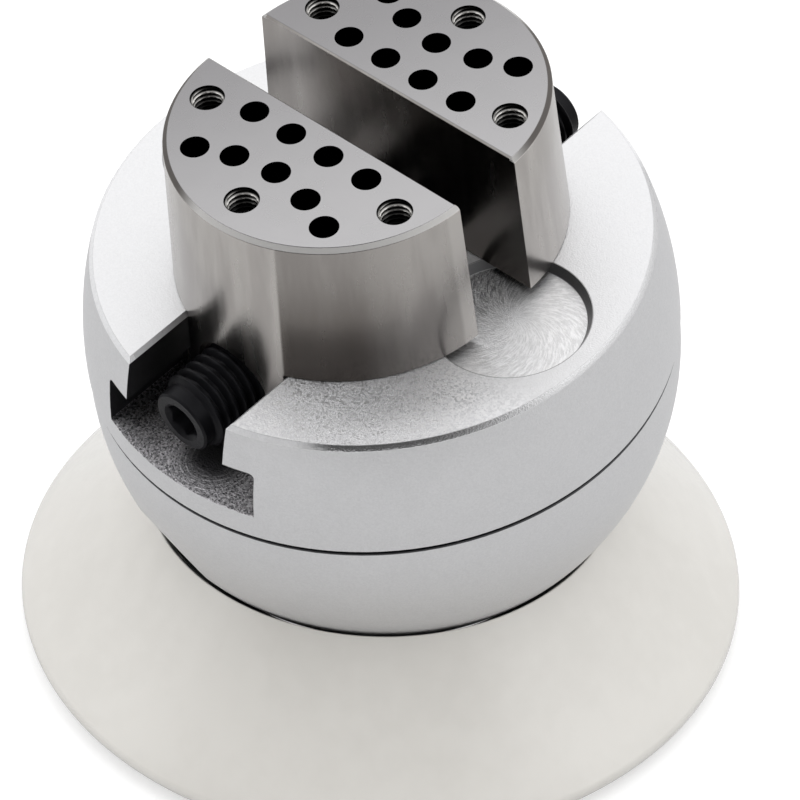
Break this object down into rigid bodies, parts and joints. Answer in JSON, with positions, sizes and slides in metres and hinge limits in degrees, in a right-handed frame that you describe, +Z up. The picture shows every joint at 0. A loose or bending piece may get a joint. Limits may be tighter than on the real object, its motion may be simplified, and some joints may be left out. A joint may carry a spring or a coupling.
{
  "type": "ball vise",
  "caption": "Ball vise: a steel ball tilting in a glossy base ring, its turning head carrying half-round drilled jaws closed by a double-ended screw.",
  "frame": {"origin": "centre of the base's underside, on the surface it stands on", "axes": "+Z up; the jaws open roughly along Y, with the near jaw and its screw end towards -Y, and the head leans 9.4 degrees towards -Y"},
  "size_m": [0.1362, 0.1362, 0.1231],
  "materials": {
    "blasted_steel": "fine blasted satin",
    "jaw_steel": "ground satin",
    "black_steel": "black oxide",
    "machined_steel": "turned and milled",
    "bearing_steel": "ground and hardened",
    "cage_brass": "machined",
    "pad_plastic": "moulded nylon",
    "base": "glossy cream",
    "rubber": "matte black"
  },
  "bodies": {
    "base": {"base_ring": "base", "foot_ring": "rubber"},
    "seat": {"seat_ring": "rubber"},
    "ball": {"lower_ball": "blasted_steel", "bottom_cover": "blasted_steel", "thrust_race_lower": "bearing_steel", "bearing_outer_ring": "bearing_steel", "bearing_circlip": "black_steel"},
    "head": {"upper_head": "blasted_steel", "screw_fork": "machined_steel", "fork_screws": "black_steel", "spindle": "machined_steel", "spindle_screws": "black_steel", "thrust_race_upper": "bearing_steel", "bearing_inner_ring": "bearing_steel", "spindle_washer": "machined_steel", "spindle_nut": "black_steel"},
    "screw": {"lead_screw": "black_steel"},
    "near_jaw": {"near_jaw": "jaw_steel"},
    "far_jaw": {"far_jaw": "jaw_steel"},
    "thrust_rollers": {"thrust_cage": "cage_brass", "thrust_rollers": "bearing_steel"},
    "bearing_rollers": {"bearing_cage": "cage_brass", "bearing_rollers": "bearing_steel"},
    "brake_pad": {"brake_pad": "pad_plastic"},
    "brake_screw": {"brake_screw": "black_steel"}
  },
  "joints": [
    {"name": "seat_turn", "type": "hinge", "parent": "base", "child": "seat", "pos_m": [0, 0, 0.06], "axis": [0, 0, 1], "continuous": true},
    {"name": "ball_tilt", "type": "hinge", "parent": "seat", "child": "ball", "pos_m": [0, 0, 0.06], "axis": [0.9854, 0.17, 0], "range_deg": [-39.43, 20.57]},
    {"name": "head_swivel", "type": "hinge", "parent": "ball", "child": "head", "pos_m": [0, 0, 0.06], "axis": [0.0279, -0.1615, 0.9865], "continuous": true},
    {"name": "thrust_cage_turn", "type": "hinge", "parent": "ball", "child": "thrust_rollers", "pos_m": [0, 0, 0.06], "axis": [0.0279, -0.1615, 0.9865], "continuous": true},
    {"name": "bearing_cage_turn", "type": "hinge", "parent": "ball", "child": "bearing_rollers", "pos_m": [0, 0, 0.06], "axis": [0.0279, -0.1615, 0.9865], "continuous": true},
    {"name": "screw_turn", "type": "hinge", "parent": "head", "child": "screw", "pos_m": [0.0006, -0.00346, 0.08111], "axis": [0.0023, 0.9869, 0.1615], "range_deg": [-1153, 2377]},
    {"name": "near_jaw_slide", "type": "slide", "parent": "head", "child": "near_jaw", "axis": [-0.0023, -0.9869, -0.1615], "range_m": [-0.0064, 0.0132]},
    {"name": "far_jaw_slide", "type": "slide", "parent": "head", "child": "far_jaw", "axis": [0.0023, 0.9869, 0.1615], "range_m": [-0.0065, 0.0133]},
    {"name": "brake_pad_slide", "type": "slide", "parent": "ball", "child": "brake_pad", "axis": [-0.181, -0.9714, -0.1539], "range_m": [0, 0.0013]},
    {"name": "brake_turn", "type": "hinge", "parent": "brake_pad", "child": "brake_screw", "pos_m": [-0.00052, 0.00299, 0.04175], "axis": [-0.181, -0.9714, -0.1539], "range_deg": [0, 360]}
  ],
  "couplings": [
    {"joint": "thrust_cage_turn", "follows": "head_swivel", "ratio": 0.5},
    {"joint": "bearing_cage_turn", "follows": "head_swivel", "ratio": 0.40678},
    {"joint": "screw_turn", "follows": "near_jaw_slide", "rad_per_m": 3141.6},
    {"joint": "far_jaw_slide", "follows": "near_jaw_slide", "ratio": 1},
    {"joint": "brake_pad_slide", "follows": "brake_turn", "m_per_rad": 0.00019894}
  ]
}
